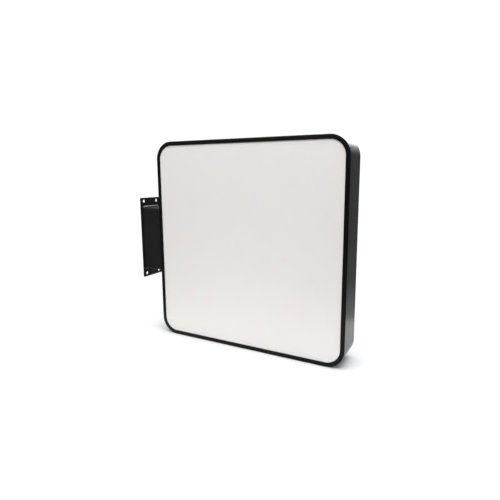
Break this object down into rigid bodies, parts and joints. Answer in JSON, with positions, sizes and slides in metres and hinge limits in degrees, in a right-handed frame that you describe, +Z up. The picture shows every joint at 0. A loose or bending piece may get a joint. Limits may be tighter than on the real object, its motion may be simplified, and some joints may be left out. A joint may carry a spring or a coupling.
{
  "type": "illuminated projecting sign",
  "caption": "Square double-faced light box with rounded corners and dark trim rings, carried out from a wall on a short box bracket with a drilled plate.",
  "frame": {"origin": "centre of the wall-side face of the bracket's wall plate", "axes": "+X away from the wall towards the light box, +Y through the light box from its front face to its back face, +Z up"},
  "size_m": [0.5675, 0.08, 0.5],
  "materials": {
    "trim_paint": "satin black powder coat on aluminium",
    "band_paint": "satin charcoal powder coat on aluminium",
    "bracket_paint": "fine-textured charcoal powder coat on steel",
    "opal_acrylic": "gloss opal white sheet",
    "gasket_foam": "closed-cell foam",
    "zinc_steel": "bright zinc plate",
    "bare_aluminium": "mill finish",
    "led_board": "white solder mask with clear moulded lenses",
    "white_plastic": "moulded",
    "black_plastic": "moulded nylon",
    "seal_rubber": "smooth",
    "mains_sheath": "flexible black sheath",
    "low_voltage_lead": "flexible red sheath"
  },
  "bodies": {
    "box_and_bracket": {"frame_band": "band_paint", "wall_plate": "bracket_paint", "bracket_arm": "bracket_paint", "arm_end_plate": "bracket_paint", "backing_plate": "zinc_steel", "arm_bolt_1": "zinc_steel", "arm_bolt_2": "zinc_steel", "arm_bolt_3": "zinc_steel", "arm_bolt_4": "zinc_steel", "weld_nut_1": "zinc_steel", "weld_nut_2": "zinc_steel", "weld_nut_3": "zinc_steel", "weld_nut_4": "zinc_steel", "bar_screw_1": "zinc_steel", "bar_screw_2": "zinc_steel", "bar_screw_3": "zinc_steel", "bar_screw_4": "zinc_steel", "bar_screw_5": "zinc_steel", "bar_screw_6": "zinc_steel", "driver_screw_1": "zinc_steel", "driver_screw_2": "zinc_steel", "splice_plate": "bare_aluminium", "splice_rivet_1": "bare_aluminium", "splice_rivet_2": "bare_aluminium", "light_bar_1": "bare_aluminium", "light_bar_2": "bare_aluminium", "light_bar_3": "bare_aluminium", "front_led_strip_1": "led_board", "front_led_strip_2": "led_board", "front_led_strip_3": "led_board", "back_led_strip_1": "led_board", "back_led_strip_2": "led_board", "back_led_strip_3": "led_board", "led_driver": "white_plastic", "terminal_block": "white_plastic", "gland_body": "black_plastic", "gland_dome_nut": "black_plastic", "gland_lock_nut": "black_plastic", "gland_seal": "seal_rubber", "mains_link_lead": "mains_sheath", "driver_output_lead": "low_voltage_lead", "front_link_lead_1": "low_voltage_lead", "front_link_lead_2": "low_voltage_lead", "back_link_lead_1": "low_voltage_lead", "back_link_lead_2": "low_voltage_lead", "crossing_lead": "low_voltage_lead"},
    "front_face": {"front_trim": "trim_paint", "front_panel": "opal_acrylic", "front_gasket": "gasket_foam", "front_set_screw_1": "zinc_steel", "front_set_screw_2": "zinc_steel", "front_set_screw_3": "zinc_steel", "front_set_screw_4": "zinc_steel"},
    "back_face": {"back_trim": "trim_paint", "back_panel": "opal_acrylic", "back_gasket": "gasket_foam", "back_set_screw_1": "zinc_steel", "back_set_screw_2": "zinc_steel", "back_set_screw_3": "zinc_steel", "back_set_screw_4": "zinc_steel"}
  },
  "joints": [
    {"name": "front_face_slide", "type": "slide", "parent": "box_and_bracket", "child": "front_face", "axis": [0, -1, 0], "range_m": [0, 0.12]},
    {"name": "back_face_slide", "type": "slide", "parent": "box_and_bracket", "child": "back_face", "axis": [0, 1, 0], "range_m": [0, 0.12]}
  ]
}
